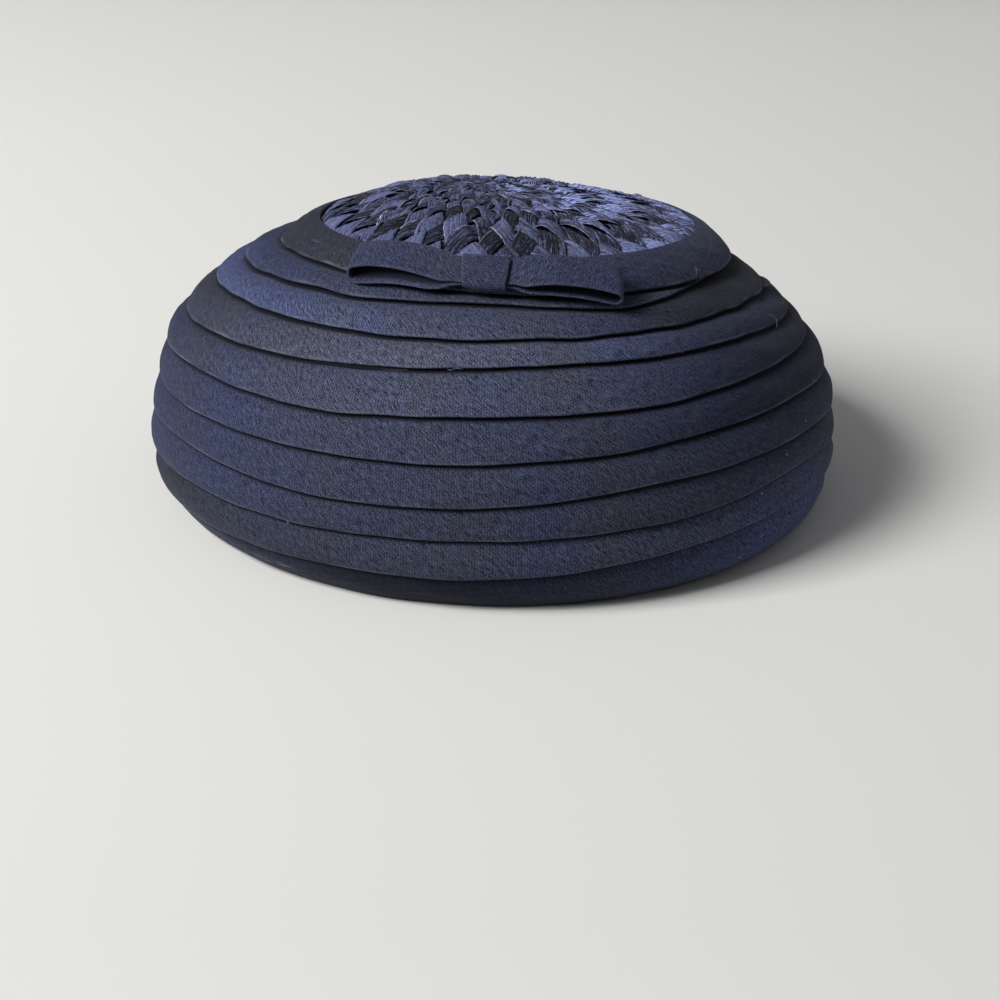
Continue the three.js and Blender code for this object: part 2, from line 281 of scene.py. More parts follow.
def finishMaterial(tree, look, colour, roughness, height):
    bump = addNode(tree, "ShaderNodeBump", {
        "Strength": look["bump"], "Distance": look["bumpDepth"], "Height": height})
    shader = addNode(tree, "ShaderNodeBsdfPrincipled", {
        "Base Color": colour, "Roughness": roughness, "Normal": bump.outputs[0],
        "Specular IOR Level": look["gloss"], "Sheen Weight": look["sheen"],
        "Sheen Roughness": look["sheenRoughness"], "Sheen Tint": look["sheenTint"]})
    addNode(tree, "ShaderNodeOutputMaterial", {"Surface": shader.outputs[0]})


def newMaterial(name):
    material = bpy.data.materials.new(name)
    material.use_nodes = True
    tree = material.node_tree
    tree.nodes.clear()
    return material, tree


clothLook = {
    "blue": (0.027, 0.035, 0.084, 1),
    "charcoal": (0.032, 0.035, 0.049, 1),
    # the pale of worn and frayed cloth, also a painted highlight along the fold edges
    "wornAndLit": (0.20, 0.21, 0.27, 1),
    "lint": (0.75, 0.77, 0.85, 1),
    "threadLength": 3.4,  # mm, how long a slub runs along its thread
    "threadWidth": 0.36,
    "warp": 0.8,  # how strongly each kind of roughness shows
    "weft": 0.5,
    "grain": 1.3,
    "rib": 0.10,
    "evenLevel": 1.35,  # the roughness at which the cloth has its plain colour
    "grainSize": 0.3,
    "threadPitch": 0.62,
    "ribPitch": 0.95,  # mm, between the faint upright ribs
    "grainStrength": 5.6,
    "darkest": 0.12,
    "patchSize": 34.0,
    "mottle": 1.4,
    "fleckSize": (1.6, 1.0),
    "fleckRange": (0.93, 0.95),  # noise above this is a fleck of lint
    "roughness": (0.92, 0.75),  # in the hollows and on the slubs
    "bump": 0.8,
    "bumpDepth": 0.00018,
    "gloss": 0.16,
    "sheen": 0.08,
    "sheenRoughness": 0.35,
    "sheenTint": (0.72, 0.76, 1.0, 1),
}


# bias-cut cloth: slubs run both ways along the threads, turned on the cloth map, over a fine grain. The
# piece's own tone goes from charcoal to blue, edge pales the fold with wear and a painted highlight, and
# shade scales the whole colour with painted light and shade.
def clothMaterial(name, look, biasTurn=45.0, seed=0.0):
    material, tree = newMaterial(name)
    clothMap = addNode(tree, "ShaderNodeUVMap", uv_map="cloth").outputs[0]
    turned = addNode(tree, "ShaderNodeMapping", {
        "Vector": clothMap, "Rotation": (0, 0, np.radians(biasTurn)),
        "Location": (seed, seed * 0.7, 0)}).outputs[0]
    warp = stretchedNoise(tree, turned, look["threadLength"], look["threadWidth"], 1.0)
    weft = stretchedNoise(tree, turned, look["threadWidth"], look["threadLength"] * 0.5, 1.0)
    grain = stretchedNoise(tree, turned, look["grainSize"], look["grainSize"], 1.0, 0.7)
    threads = sums(tree, "MULTIPLY", *(stripes(tree, turned, look["threadPitch"], way) for way in "XY"))
    fineRib = stripes(tree, clothMap, look["ribPitch"], "X", {
        "Distortion": 1.5, "Detail": 1.0, "Detail Scale": 3.0})
    roughCloth = sums(tree, "MULTIPLY_ADD", weft, look["weft"], sums(tree, "MULTIPLY", warp, look["warp"]))
    roughCloth = sums(tree, "MULTIPLY_ADD", grain, look["grain"], roughCloth)
    roughCloth = sums(tree, "MULTIPLY_ADD", fineRib, look["rib"], roughCloth)
    height = sums(tree, "MULTIPLY_ADD", threads, 0.5, roughCloth)
    place = addNode(tree, "ShaderNodeTexCoord").outputs["Object"]
    patches = stretchedNoise(tree, place, look["patchSize"], look["patchSize"], 3.0, 0.6)
    mottle = sums(tree, "MULTIPLY_ADD", patches, look["mottle"], -look["mottle"] / 2)
    blueness = sums(tree, "ADD", meshNumber(tree, "tone"), mottle, use_clamp=True)
    colour = blendColours(tree, blueness, look["charcoal"], look["blue"])
    speckle = sums(tree, "MULTIPLY_ADD", roughCloth, look["grainStrength"],
                   1 - look["evenLevel"] * look["grainStrength"])
    speckle = sums(tree, "MULTIPLY", speckle, meshNumber(tree, "shade"))
    colour = scaleColour(tree, colour, sums(tree, "MAXIMUM", speckle, look["darkest"]))
    # the pale mix of wear and painted highlight, broken up by the grain
    wearAndHighlight = sums(tree, "MULTIPLY", meshNumber(tree, "edge"), sums(tree, "MULTIPLY_ADD", grain, 2.0, -0.5),
                use_clamp=True)
    colour = blendColours(tree, wearAndHighlight, colour, look["wornAndLit"])
    flecks = remap(tree, stretchedNoise(tree, turned, *look["fleckSize"], 0.0, 0.5), *look["fleckRange"])
    colour = blendColours(tree, flecks, colour, look["lint"])
    roughness = remap(tree, roughCloth, 0.9, 1.8, *look["roughness"])
    finishMaterial(tree, look, colour, roughness, height)
    return material


strawLook = {
    # dark and light are one straw, painted in shade and with painted sheen; rim is the painted highlight on
    # turned edges
    "dark": (0.004, 0.004, 0.010, 1),
    "light": (0.129, 0.150, 0.300, 1),
    "rim": (0.42, 0.46, 0.62, 1),
    "fibreWidth": 0.5,
    "fibreLength": 14.0,
    "lines": (6.4, -3.3),  # each pair: how much the noise is stretched, and what is added
    "speck": (5.2, -2.65),
    "rimBreaks": (7.0, -3.0),
    "plainness": (1.1, 0.6),  # how strong the lines are on a dark and on a light strip
    "roughness": (0.72, 0.5),
    "bump": 0.9,
    "bumpDepth": 0.0005,
    "gloss": 0.2,
    "sheen": 0.05,
    "sheenRoughness": 0.4,
    "sheenTint": (0.8, 0.84, 1.0, 1),
}


# flattened fibre strips: lines run along each strip on its own map. Shade is the strip's lightness, painted
# sheen and shade; gain scales its colour, painted lighter to the right; and edge paints a highlight on its
# turned rim.
def strawMaterial(name, look):
    material, tree = newMaterial(name)
    stripMap = addNode(tree, "ShaderNodeUVMap", uv_map="cloth").outputs[0]
    fibres = stretchedNoise(tree, stripMap, look["fibreWidth"], look["fibreLength"], 3.0, 0.65)
    fine = stretchedNoise(tree, stripMap, 0.3, 2.0, 2.0, 0.65)
    shade = meshNumber(tree, "shade")
    plain = remap(tree, shade, 0.0, 0.8, *look["plainness"])
    lines = sums(tree, "MULTIPLY", sums(tree, "MULTIPLY_ADD", fibres, *look["lines"]), plain)
    speck = sums(tree, "MULTIPLY_ADD", fine, *look["speck"])
    lightness = sums(tree, "ADD", sums(tree, "ADD", lines, speck), shade, use_clamp=True)
    colour = blendColours(tree, lightness, look["dark"], look["light"])
    colour = scaleColour(tree, colour, meshNumber(tree, "gain"))
    rim = sums(tree, "MULTIPLY", meshNumber(tree, "edge"),
               sums(tree, "MULTIPLY_ADD", fine, *look["rimBreaks"]), use_clamp=True)
    colour = blendColours(tree, rim, colour, look["rim"])
    roughness = remap(tree, fibres, 0.3, 0.7, *look["roughness"])
    finishMaterial(tree, look, colour, roughness, sums(tree, "MULTIPLY_ADD", fine, 0.4, fibres))
    return material


# the ten bands, in mm unless a note says otherwise
bands = {
    "step": 1.95,  # from a band's face in to the face of the band below
    "thickness": 1.1,
    "gap": 0.35,
    "tuck": 4.5,
    "fullness": 1.0,
    "narrow": 6.0,
    "around": 640,
    "tuckRows": 4,
    "faceRows": 22,
    "noseRows": 9,
    "innerRows": 9,
    "tuckChecks": (0.15, 0.3, 0.5, 0.75, 1.0),  # shares of the tuck where it must clear the band above
    "leastFace": 0.6,
    "leastCut": 10.2,
    "foldWobble": 0.13,
    "loose": (1, 2),  # the bands, counted from 0, whose folds wobble twice as much
    "foldLift": 0.22,
    "ripple": 0.12,
    "sideShade": 0.28,  # painted shade: how much darker some bands are on the right of the front
    "sideShadeBands": (2, 5),
    "sideShadeTurn": 50.0,  # degrees
    "sideShadeWide": 17.0,
    "foldShade": 0.94,  # painted shadow: how dark the cloth is painted right under the fold above
    "shadeReach": 1.3,
    "wornAndLit": (0.6, 0.36),  # how far up the fold its pale line lies, and how wide it is; the line is wear and a painted highlight of the lit fold edge
    "wearAndHighlight": (0.28, 0.34),  # how strong it is at the front, and how much more at the sides
    "frays": ((-37.5, 3.0), (-33.5, 1.2), (41.9, 1.8)),  # degrees, where the hem is frayed and how widely
    "fray": 0.8,
    "frayAcross": (8.6, 1.1),
    "hemSettle": 3.0,
    "hemDarkLine": (0.5, 0.4, 0.9),  # how much darker the hem's lowest line is painted, how far up it lies, and how wide it is
}

# the height of each band's lower fold up the body, at the front and then every 30 degrees to the right (mm)
bandFolds = {
    "top_band": [91.7, 91.2, 90.6, 90.5, 90.8, 91.2, 91.5, 91.2, 90.2, 91.3, 93.0, 92.9],
    "band_2": [89.5, 87.5, 91.0, 90.6, 90.3, 89, 88, 87, 86.5, 86.0, 87, 88.3],
    "band_3": [80.7, 81, 81.4, 78.8, 78, 78.5, 79, 79, 79, 78.5, 79.6, 80],
    "band_4": [74.5, 75, 74, 70.5, 69.5, 70, 70, 69.5, 68, 67, 70.1, 72.2],
    "band_5": [63.4, 64, 65, 62.8, 61.5, 61, 60, 58.5, 57, 55.3, 59.9, 60.8],
    "band_6": [51.5, 54.5, 54.9, 50.3, 49.5, 50, 49.5, 48, 46.3, 44.6, 47.6, 49.9],
    "band_7": [39.6, 43.5, 43.3, 37, 37.5, 38.5, 38, 36, 32.5, 30.5, 36, 36.6],
    "band_8": [28.4, 30.7, 33, 22.8, 24.5, 26.5, 26, 23, 18.5, 16, 23, 25.7],
    "band_9": [14.2, 19.5, 21, 14, 14.5, 15.5, 14.5, 11.5, 7.5, 5, 9, 12.5],
    "hem_band": [0] * 12,
}

# how blue each band is, 0 charcoal to 1 blue, how light (painted light and shade, set for each side as the
# lamp lights it), and how full: front, right, back, left
bandLooks = {
    "top_band": ([0.35, 0.85, 0.5, 0.15], [0.95, 0.75, 1.0, 0.5], [1.0, 1.2, 1.0, 1.7]),
    "band_2": ([0.35, 0.6, 0.5, 0.95], [1.1, 0.75, 1.0, 0.85], [1.0, 1.3, 1.2, 3.8]),
    "band_3": ([0.4, 0.25, 0.6, 0.95], [1.4, 0.14, 1.0, 1.45], [1.0, 1.4, 1.2, 2.1]),
    "band_4": ([0.25, 1.1, 0.4, 0.3], [1.85, 0.28, 1.0, 0.62], [1.0, 1.5, 1.2, 1.6]),
    "band_5": ([0.3, 1.0, 0.7, 0.55], [1.45, 0.24, 1.0, 0.66], [1.0, 1.5, 1.2, 1.5]),
    "band_6": ([0.4, 1.05, 0.4, 0.8], [1.05, 0.3, 0.9, 0.72], [1.0, 1.5, 1.2, 1.5]),
    "band_7": ([0.4, 0.85, 0.6, 0.9], [0.95, 0.7, 0.9, 0.7], [1.0, 1.5, 1.2, 1.5]),
    "band_8": ([0.4, 0.6, 0.5, 0.9], [0.85, 1.0, 0.9, 0.8], [1.0, 1.5, 1.2, 1.5]),
    "band_9": ([0.4, 0.65, 0.5, 0.12], [0.98, 1.6, 0.9, 0.47], [1.0, 1.5, 1.2, 1.5]),
    "hem_band": ([0.7, 0.8, 0.4, 0.0], [0.24, 2.4, 0.8, 1.0], [1.0, 1.5, 1.2, 1.5]),
}


# a band's fold, as cloth length up the body: the table's smooth closed curve, turned from height to length
def foldLength(name, angle):
    return np.interp(smoothRound(bandFolds[name], angle), sectionHeight, sectionLength)


# how far a band's outer face stands off the body at a cloth length: straight where it is tucked under the
# band above, then a rise from start to fold with a low arch over it, and a little lift along the fold
def faceOut(band, length):
    t = np.clip((band["start"] - length) / (band["start"] - band["fold"]), 0, 1)
    rise = band["startOut"] + (band["stand"] - band["startOut"]) * t + 4 * band["swell"] * t * (1 - t)
    rise = rise + band["lift"] * softStep(t, 0.45, 1)
    return np.where(length > band["start"], band["startOut"] + (length - band["start"]) * band["slope"], rise)


# all ten bands at these angles, from the top down. Each comes out from under the fold above, one step in
# from it, and its tuck takes the steepest slope that stays a step under the band above.
def stackBands(angle):
    stack = {}
    above = None
    for n, name in enumerate(bandFolds):
        fold = foldLength(name, angle)
        if name != "hem_band":
            loose = 2 if n in bands["loose"] else 1
            fold = fold + bands["foldWobble"] * loose * wobble(angle, 20 + n, 5, 34)
        lift = bands["foldLift"] * np.clip(wobble(angle, 40 + n, 3, 22), 0, 2)
        swell = bands["fullness"] * smoothRound(bandLooks[name][2], angle)
        if above is None:
            band = {"start": topLength + 0 * angle, "fold": fold, "startOut": 0 * angle, "stand": 0 * angle,
                    "swell": swell, "tuckTop": topLength + 0 * angle, "slope": 0 * angle, "lift": lift}
        else:
            start = np.maximum(above["fold"], fold + bands["leastFace"])
            width = start - fold
            startOut = above["stand"] - bands["step"]
            swell = swell * (1 + 0.2 * wobble(angle, 60 + n, 2, 9))
            band = {"start": start, "fold": fold, "startOut": startOut,
                    "stand": -bands["step"] * (1 - softStep(width, 0, bands["narrow"])),
                    "swell": swell * softStep(width, 0, 2 * bands["narrow"]),
                    "tuckTop": np.minimum(start + bands["tuck"], above["tuckTop"]), "lift": lift}
            slopes = []
            for share in bands["tuckChecks"]:
                length = start + share * (band["tuckTop"] - start)
                room = faceOut(above, length) - bands["step"] - startOut
                slopes.append(room / np.maximum(length - start, 0.01))
            band["slope"] = np.min(slopes, 0)
        stack[name] = above = band
    return stack


# a band's closed profile at each angle: the outer face from the tuck down, a round fold, the inner face
# back up. The ripple is a sum of slow waves round and across, none where the band meets its neighbours.
def makeBand(name, n, stack, angle, material):
    band = {key: value[:, None] for key, value in stack[name].items()}
    nose = bands["thickness"] / 2
    tuckShare = np.linspace(0, 1, bands["tuckRows"], endpoint=False)
    faceShare = np.linspace(0, 1, bands["faceRows"], endpoint=False)
    turn = np.linspace(0, np.pi, bands["noseRows"])
    innerShare = np.linspace(0, 1, bands["innerRows"] + 1)[1:]
    low = band["fold"] + nose
    tuckPart = band["tuckTop"] + (band["start"] - band["tuckTop"]) * tuckShare
    facePart = band["start"] + (low - band["start"]) * faceShare
    innerPart = low + (band["tuckTop"] - low) * innerShare
    lowOut = faceOut(band, low)
    length = np.concatenate([tuckPart, facePart, low - nose * np.sin(turn), innerPart], 1)
    out = np.concatenate([
        faceOut(band, tuckPart), faceOut(band, facePart), lowOut - nose + nose * np.cos(turn),
        faceOut(band, innerPart) - bands["thickness"]], 1)
    t = np.clip((band["start"] - length) / (band["start"] - band["fold"]), 0, 1)
    ripple = wobble(angle[:, None] + 0.02 * length, 80 + n, 5, 30, 0.5)
    ripple = ripple + 0.35 * wobble(angle[:, None] - 0.05 * length, 100 + n, 18, 60, 0.5)
    out = out + bands["ripple"] * ripple * np.sin(np.pi * t) * softStep(band["swell"], 0, 1)
    length = np.concatenate([length, length[:, :1]], 1)
    out = np.concatenate([out, out[:, :1]], 1)
    points = offBody(length, angle[:, None], out)
    if name == "hem_band":  # the hem settles on what it stands on
        lowest = points[..., 2].min()
        points[..., 2] -= lowest * np.exp(-points[..., 2] / bands["hemSettle"])
    across = np.linalg.norm(np.diff(points, axis=1), axis=-1)
    across = np.concatenate([0 * angle[:, None], np.cumsum(across, 1)], 1)
    noseColumn = bands["tuckRows"] + bands["faceRows"] + bands["noseRows"] // 2
    across = across[:, noseColumn:noseColumn + 1] - across
    faceColumn = noseColumn - 6  # a little above the fold
    middle = np.linalg.norm(points[:, faceColumn, :2], axis=-1).mean()
    along = angle[:, None] * middle + 0 * across
    # light is painted light and shade, set for each side of the band by its looks
    tone, light = (smoothRound(values, angle)[:, None] for values in bandLooks[name][:2])
    # painted shade on some bands, right of the front
    if bands["sideShadeBands"][0] <= n <= bands["sideShadeBands"][1]:
        away = (np.degrees(angle) - bands["sideShadeTurn"]) / bands["sideShadeWide"]
        light = light * (1 - bands["sideShade"] * np.exp(-away[:, None] ** 2))
    onFace = (np.arange(across.shape[1]) < noseColumn + 3)[None, :]
    # painted shadow right under the fold above
    below = (band["start"] - length) / bands["shadeReach"]
    light = light * (1 - bands["foldShade"] * np.exp(-np.clip(below, 0, None) ** 4) * onFace * (n > 0))
    # the pale line along the fold: wear and a painted highlight, stronger at the sides where the light grazes
    # it
    wearAndHighlight = bands["wearAndHighlight"][0] + bands["wearAndHighlight"][1] * np.sin(angle[:, None]) ** 2
    edge = np.exp(-((across - bands["wornAndLit"][0]) / bands["wornAndLit"][1]) ** 2) * onFace * wearAndHighlight
    edge = edge * (0.6 + 0.5 * np.clip(wobble(angle, 120 + n, 4, 50, 0.3), -1, 2))[:, None]
    if name == "hem_band":
        middleLine, wide = bands["frayAcross"]
        broken = np.clip(0.5 + wobble(9 * angle[:, None] + 2 * across, 150, 2, 9), 0, 1)
        for place, size in bands["frays"]:
            away = (np.degrees(angle) + 180) % 360 - 180 - place
            frayed = np.exp(-(away / size) ** 2)[:, None] * np.exp(-((across - middleLine) / wide) ** 2)
            edge = edge + bands["fray"] * frayed * onFace * broken
        # the hem's lowest line is painted darker
        dark, middleLine, wide = bands["hemDarkLine"]
        light = light * (1 - dark * np.exp(-((across - middleLine) / wide) ** 2))
    piece = loftPiece(name.replace("_b", "B").replace("_", "") + "Cloth", points[None],
                      np.stack([along, across], -1)[None],
                      {"tone": tone[None], "edge": edge[None], "shade": light[None]}, material, True)
    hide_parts(name)


def makeBands():
    angle = np.linspace(0, fullTurn, bands["around"] + 1)
    stack = stackBands(angle)
    for n, name in enumerate(bandFolds):
        makeBand(name, n, stack, angle, clothMaterial(name + "_cloth", clothLook, seed=0.013 * n))
        print("band", name)


makeBands()


# places where a little more cloth peeps out from under a fold; each sliver's shade is painted shade, near
# black for the double tuck as the shadowed gap under its fold
looseTucks = {
    "doubleTuck": {"under": "band_4", "over": "band_5", "fromTurn": -34.0, "toTurn": -14.5, "hang": 1.4,
                   "grow": 0.5, "standOff": 0.1, "thickness": 0.5, "rows": 90, "shade": 0.05, "pale": 0.6},
    "foldedEnd": {"under": "band_3", "over": "band_4", "fromTurn": 84.0, "toTurn": 95.0, "hang": 3.4,
                  "grow": 0.2, "standOff": 1.8, "thickness": 0.7, "rows": 30, "shade": 0.6, "pale": 0.05},
}


# a sliver of cloth under a fold. It hangs below the fold by a flat-topped hump, the square root of the sine
# of the way along, that grows to its further end, and it stands off the band it covers towards its lower edge
def makeTuck(name, tuck, material):
    way = np.linspace(0, 1, tuck["rows"])
    angle = np.radians(tuck["fromTurn"] + (tuck["toTurn"] - tuck["fromTurn"]) * way)
    stack = stackBands(angle)
    upper, lower = ({part: value[:, None] for part, value in stack[tuck[place]].items()}
                    for place in ("under", "over"))
    hump = np.sin(np.pi * (0.01 + 0.98 * way)) ** 0.5 * (1 - tuck["grow"] * (1 - way))
    hang = tuck["hang"] * hump[:, None]
    side = np.linspace(0, 1, 9)
    down = np.concatenate([side, side[::-1], [0]])[None, :]
    outer = np.concatenate([0.35 + 0.65 * np.sqrt(1 - side**4), 0 * side, [1]])[None, :]
    hidden = 1.2  # mm that the sliver reaches up behind the fold
    length = upper["fold"] + hidden - (hang + hidden) * down
    out = faceOut(lower, length) + 0.15 + tuck["thickness"] * outer + tuck["standOff"] * down
    points = offBody(length, angle[:, None], out)
    along = angle[:, None] * 115 + 0 * length
    pale = tuck["pale"] * softStep(down, 0.9, 1.0) * (outer > 0) * softStep(way, 0.7, 0.85)[:, None]
    # shade: painted shade on the sliver, lighter along its pale lower edge
    shade = tuck["shade"] + 0.6 * pale
    piece = loftPiece(name, points[None], np.stack([along, length], -1)[None],
                      {"tone": 0.4, "edge": pale[None], "shade": shade[None]}, material, False)


# loose threads and lint: turn round the hat and height up the body to the middle, size (mm), lie (degrees),
# and how far it curls (turns)
looseThreads = [
    (-62.0, 96.5, 7.0, 5, 0.05), (68.0, 73.8, 10.0, 80, 0.55), (-31.2, 26.1, 3.4, 80, 0.9),
    (0.5, 88.7, 2.5, 60, 0.2), (-6.0, 73.2, 5.5, 8, 0.05), (53.5, 92.2, 5.0, 50, 0.15),
    (54.2, 92.0, 3.5, -35, 0.1), (-15.0, 41.2, 0.9, 20, 0.1), (55.7, 42.0, 0.9, 60, 0.1),
    (21.8, 11.4, 0.7, 0, 0.1), (36.4, 74.2, 0.7, 0, 0.1), (205.0, 52.0, 5.0, 30, 0.5),
]


# each thread is a thin tube along an arc of its own size. Its heading turns by curl turns over its length and
# sways a little on the way, and the tube thins to both ends.
def makeThreads(material):
    way = np.linspace(0, 1, 24)
    rim = np.linspace(0, fullTurn, 7)
    tubes = []
    for n, (turn, height, size, lie, curl) in enumerate(looseThreads):
        angle = np.radians(turn)
        base = np.interp(height, sectionHeight, sectionLength)
        heading = np.radians(lie) + fullTurn * curl * (way - 0.5)
        heading = heading + 0.3 * np.sin(way * 9 + n)
        stepSize = size / len(way)
        across = np.cumsum(np.cos(heading)) * stepSize
        up = np.cumsum(np.sin(heading)) * stepSize
        radius = np.linalg.norm(bodySkin(base, angle)[:2])
        out = 1.6 + 0.5 * np.sin(np.pi * way)
        middle = offBody(base + up - up.mean(), angle + (across - across.mean()) / radius, out)
        ahead = np.gradient(middle, axis=0)
        ahead = ahead / np.linalg.norm(ahead, axis=-1, keepdims=True)
        outward = bodyOutward(base, angle)
        sideways = np.cross(ahead, outward)
        thickness = 0.14 * np.sqrt(np.sin(np.pi * (0.03 + 0.94 * way)))[:, None, None]
        ring = np.cos(rim)[None, :, None] * outward + np.sin(rim)[None, :, None] * sideways[:, None, :]
        tubes.append(middle[:, None, :] + ring * thickness)
    points = np.stack(tubes)
    clothMap = np.stack(np.broadcast_arrays(way[:, None] * 6, rim[None, :] * 0.1), -1)
    piece = loftPiece("looseThreads", points, np.broadcast_to(clothMap, points.shape[:3] + (2,)),
                      {"tone": 0.6, "edge": 0.5, "shade": 2.6}, material, False)


tuckCloth = clothMaterial("tuck_cloth", clothLook, seed=0.17)
for name, tuck in looseTucks.items():
    makeTuck(name, tuck, tuckCloth)
makeThreads(tuckCloth)
print("tucks and loose threads")


# the woven crown, in mm unless a note says otherwise
crown = {
    "rise": 10.0,
    "edgeDrop": 1.6,
    "tip": 1.2,  # how far the dome's right side sits below its left
    "strips": 34,  # in each of the two families
    "innerStrips": 16,
    "spiral": 23.5,  # degrees from straight out
    "cover": 1.0,
    "wave": 1.35,
    "puff": 0.55,
    "strawThickness": 0.4,
    "paintedSheen": 1.55,  # painted sheen: how much lighter the right-hand side is painted
    "centre": (-8.8, 2.0),  # where the weave's middle lies from the ring's
    "radius": 69.5,  # of the weave, to size its map
    "outerShares": (0.28, 1.03),  # where each family starts and ends, from the middle, 0, to the rim, 1
    "innerShares": (0.05, 0.39),
    "columns": 18,
    "rows": 52,
}
crownMiddle = (bodySkin(topLength, 0.0) + bodySkin(topLength, np.pi)) / 2


# a point of the crown's dome: share goes from the middle, 0, to the rim, 1, and the dome falls with share
# to the power 2.2. The middle of the weave is moved off the middle of the rim, less and less outwards.
def domePoint(share, angle, lift):
    share, angle, lift = np.broadcast_arrays(share, angle, lift)
    point = crownMiddle + (bodySkin(topLength + 0 * angle, angle) - crownMiddle) * (0.985 * share)[..., None]
    fall = (crown["rise"] + crown["edgeDrop"]) * (1 - share**2.2) - crown["edgeDrop"] - bands["gap"]
    fall = fall - crown["tip"] * np.sin(angle) * np.sin(np.pi * np.clip(share, 0, 1))
    shift = np.clip(1 - share, 0, 1) ** 1.5
    point = point + np.stack([crown["centre"][0] * shift, crown["centre"][1] * shift, fall + lift], -1)
    return point


# two families of strips on spirals of opposite hand. On the map of angle and log of radius both are straight
# lines, a and b count them, and a strip rises and falls as a cosine of the other family's count. Each strip
# is arched across, with a turned edge, and ripples a little along.
def weaveStrips(count, fromShare, toShare, dive, hand, seed):
    dice = np.random.default_rng(seed)
    pull = np.tan(np.radians(crown["spiral"])) * count / np.pi
    half = crown["columns"]
    v = np.concatenate([np.linspace(-1, 1, half), np.linspace(1, -1, half), [-1]])
    under = np.concatenate([np.zeros(half), np.ones(half), [0]])
    strip = np.arange(count)[:, None, None]
    q = np.linspace(np.log(fromShare), np.log(toShare), crown["rows"])[None, :, None]
    share = np.exp(q)
    mean = dice.normal(0, 0.10, (count, 1, 1))
    sway = mean + 0.10 * np.sin(q * 9 + dice.uniform(0, fullTurn, (count, 1, 1)))
    cover = (crown["cover"] + 0.06 * hand) * (1 + dice.normal(0, 0.07, (count, 1, 1)))
    own = strip + 0.5 * cover * v + sway
    other = own + hand * pull * q
    angle = np.pi * (own + other) / count
    size = np.clip(share / 0.62, 0.35, 1)
    weave = np.tanh(1.5 * hand * np.cos(np.pi * (strip + other))) * crown["wave"]
    side = np.where(dice.uniform(size=(count, 1, 1)) < 0.85, -1.0, 1.0)
    curl = 0.55 * softStep(v * side, 0.62, 0.98) * (1 + 0.5 * np.sin(q * 14 + strip * 2.3))
    many = 13 + 4 * dice.uniform(size=(count, 1, 1))
    grooves = 0.16 * np.sin(v * many + strip * 1.7 + 0.8 * np.sin(q * 7))
    wander = 0.45 * np.sin(q * 13 + dice.uniform(0, fullTurn, (count, 1, 1)))
    lift = weave + wander + crown["puff"] * (1 - v**2) + curl + grooves + 0.3 * (hand > 0)
    thin = crown["strawThickness"] * (0.35 + 0.65 * np.sqrt(np.clip(1 - v**2, 0, 1)))
    lift = (lift - under * thin) * size - dive(share)
    points = domePoint(share + 0 * v, angle, lift)
    wide = fullTurn * crown["radius"] / count / 2
    along = (share - fromShare) * crown["radius"] / np.cos(np.radians(crown["spiral"])) + 31 * strip
    clothMap = np.stack(np.broadcast_arrays(v * wide * share + 7 * strip, along + 0 * v), -1)
    # painted sheen and shade: one family of strips light, the other dark, varied along each strip
    lightness = 0.29 + hand * 0.38 + dice.normal(0, 0.12, (count, 1, 1))
    lightness = lightness + 0.22 * np.sin(q * 6 + dice.uniform(0, fullTurn, (count, 1, 1)))
    # gain: painted sheen, lighter towards the right
    gain = 1.12 + crown["paintedSheen"] * np.clip(np.sin(angle - 0.1) - 0.35 * np.cos(angle), -0.12, 1)
    # edge: a painted highlight along the turned rim, broken here and there
    broken = np.clip(0.55 + 0.5 * np.sin(q * 11 + strip * 4.1), 0, 1)
    edge = softStep(v * side, 0.84, 0.96) * broken * (1 - under)
    return points, clothMap, {"shade": lightness, "edge": edge, "gain": gain}


# the middle knot: a low boss whose top is cut by five turning grooves; its profile runs from the middle
# out over the top and back underneath
def makeKnot(material):
    angle = np.linspace(0, fullTurn, 73)[:, None]
    reach = np.concatenate([np.linspace(0.02, 1, 12), np.linspace(1, 0.02, 6), [0.02]])[None, :]
    under = np.concatenate([np.zeros(12), np.ones(6), [0]])[None, :]
    twist = np.cos(5 * angle + 5.5 * reach)
    lift = 1.4 * np.cos(reach * np.pi / 2) + 0.45 * twist * np.sin(np.pi * np.clip(reach, 0, 1))
    lift = lift - 1.2 * under - 0.2
    share = 0.088 * reach * (1 + 0.08 * np.cos(3 * angle + 1))
    points = domePoint(share, angle, lift)
    clothMap = np.stack(np.broadcast_arrays(5 * angle + 5.5 * reach, 6 * reach + 0 * angle), -1)
    # painted shade in the grooves and a painted highlight on the ridges between them
    return loftPiece("crownKnot", points[None], clothMap[None],
                     {"shade": (0.35 + 0.3 * twist)[None], "edge": 0.3 * softStep(twist, 0.8, 1)[None],
                      "gain": 1.0}, material, True)


# the ground under the weave: the dome again, 2.6 mm lower and 0.9 mm thick, with its rim tucked under the
# top band
def makeCrownGround(material):
    angle = np.linspace(0, fullTurn, 145)[:, None]
    share = np.concatenate([np.linspace(0.004, 1.03, 22), np.linspace(1.03, 0.004, 22), [0.004]])[None, :]
    under = np.concatenate([np.zeros(22), np.ones(22), [0]])[None, :]
    points = domePoint(share, angle, -2.6 - 0.9 * under)
    clothMap = np.stack([points[..., 0], points[..., 1]], -1)
    return loftPiece("crownGround", points[None], clothMap[None],
                     {"tone": 0.2, "edge": 0.0, "shade": 0.6}, material, True)


# how far the outer weave dives: under the top band at its rim, and under the middle weave inside
def outerDive(share):
    return 1.5 * softStep(share, 0.965, 1.025) + 2.4 * (1 - softStep(share, 0.29, 0.37))


# how far the middle weave dives into the outer one at its end, after a slow rise to the middle
def innerDive(share):
    return 2.6 * softStep(share, 0.30, 0.38) - 0.4 * (1 - share)


